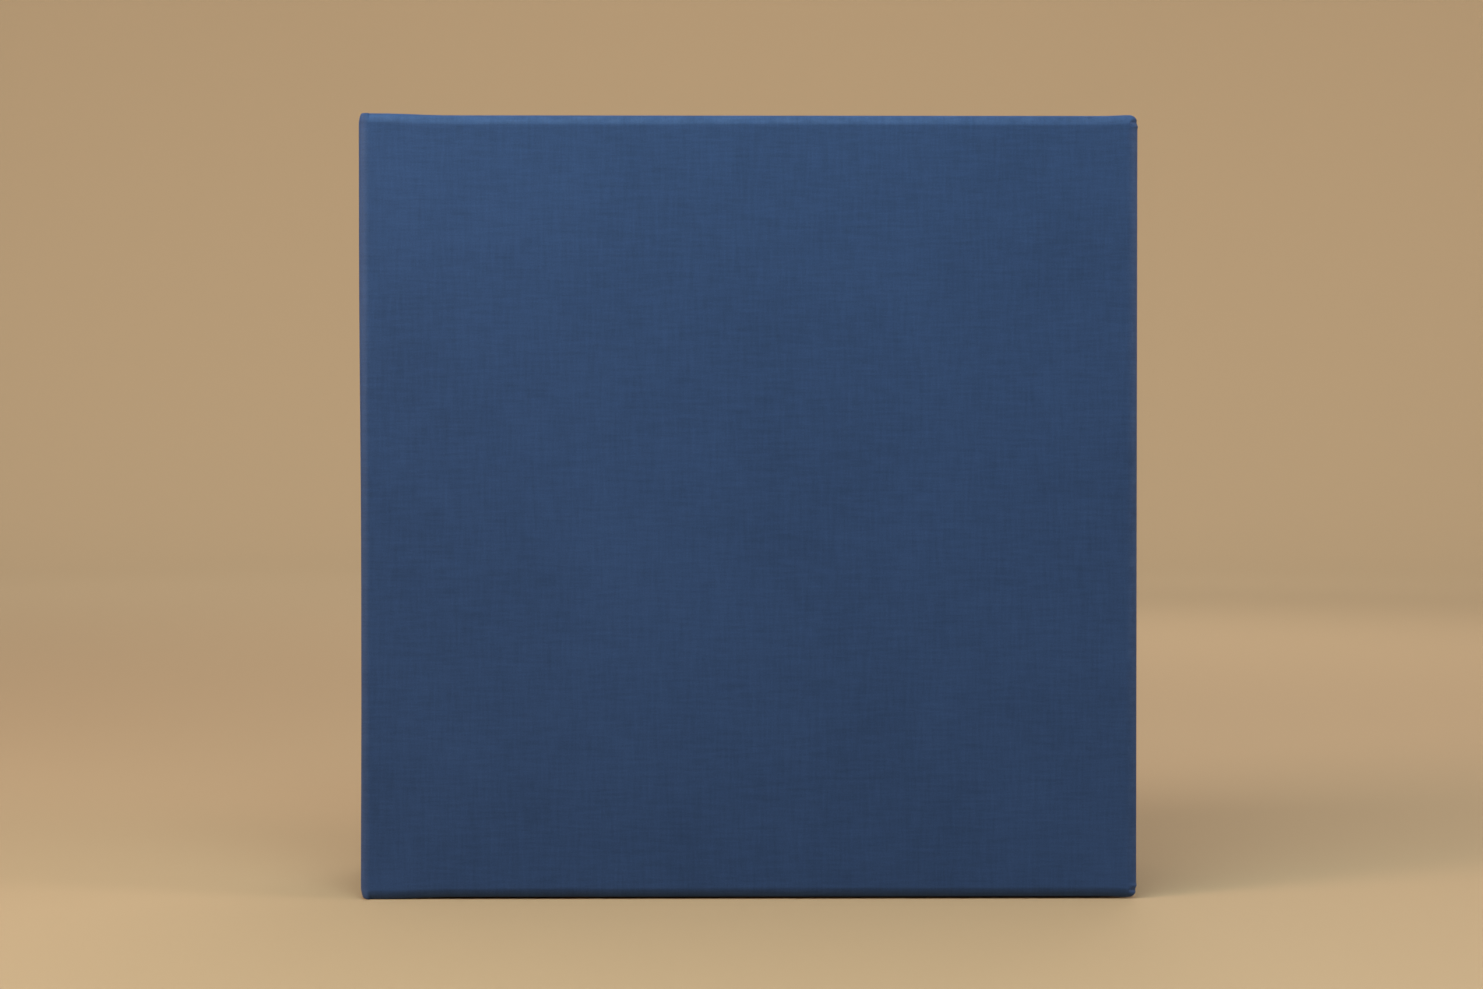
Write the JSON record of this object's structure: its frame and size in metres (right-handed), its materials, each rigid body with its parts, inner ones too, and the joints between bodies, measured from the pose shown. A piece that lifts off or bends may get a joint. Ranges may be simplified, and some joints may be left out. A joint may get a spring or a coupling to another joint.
{
  "type": "archival box",
  "caption": "Square cloth-covered drop-spine archival box: a hinged case of rigid boards with two nesting trays that open flat.",
  "frame": {"origin": "middle of the footprint of the closed box standing on its tail edge", "axes": "+Z from tail to head, -Y out of the front cover, -X out of the spine"},
  "size_m": [0.328, 0.089, 0.33],
  "materials": {
    "cover_cloth": "deep blue book cloth, fine plain weave, matt",
    "hinge_cloth": "deep blue book cloth, fine plain weave, matt",
    "tray_cloth": "deep blue book cloth, fine plain weave, matt",
    "lining_paper": "uncoated warm white paper",
    "cover_board": "grey binder's board",
    "tray_board": "grey binder's board"
  },
  "bodies": {
    "base": {"back_board": "cover_board", "back_cover_cloth": "cover_cloth", "back_joint_cloth": "cover_cloth", "back_hinge_flange": "hinge_cloth", "base_tray_floor": "tray_board", "base_tray_head_wall": "tray_board", "base_tray_tail_wall": "tray_board", "base_tray_fore_edge_wall": "tray_board", "base_tray_cloth": "tray_cloth", "base_tray_lining": "lining_paper"},
    "spine": {"spine_board": "cover_board", "spine_cover_cloth": "cover_cloth", "spine_back_joint_cloth": "cover_cloth", "spine_front_joint_cloth": "cover_cloth", "spine_lining": "hinge_cloth"},
    "lid": {"front_board": "cover_board", "front_cover_cloth": "cover_cloth", "front_joint_cloth": "cover_cloth", "front_hinge_flange": "hinge_cloth", "lid_tray_floor": "tray_board", "lid_tray_head_wall": "tray_board", "lid_tray_tail_wall": "tray_board", "lid_tray_fore_edge_wall": "tray_board", "lid_tray_cloth": "tray_cloth", "lid_tray_lining": "lining_paper"}
  },
  "joints": [
    {"name": "spine_hinge", "type": "hinge", "parent": "base", "child": "spine", "pos_m": [-0.1628, 0.0433, 0.165], "axis": [0, 0, -1], "range_deg": [0, 90]},
    {"name": "cover_hinge", "type": "hinge", "parent": "spine", "child": "lid", "pos_m": [-0.1628, -0.0433, 0.165], "axis": [0, 0, -1], "range_deg": [0, 90]}
  ],
  "couplings": [
    {"joint": "spine_hinge", "follows": "cover_hinge", "ratio": 1}
  ]
}
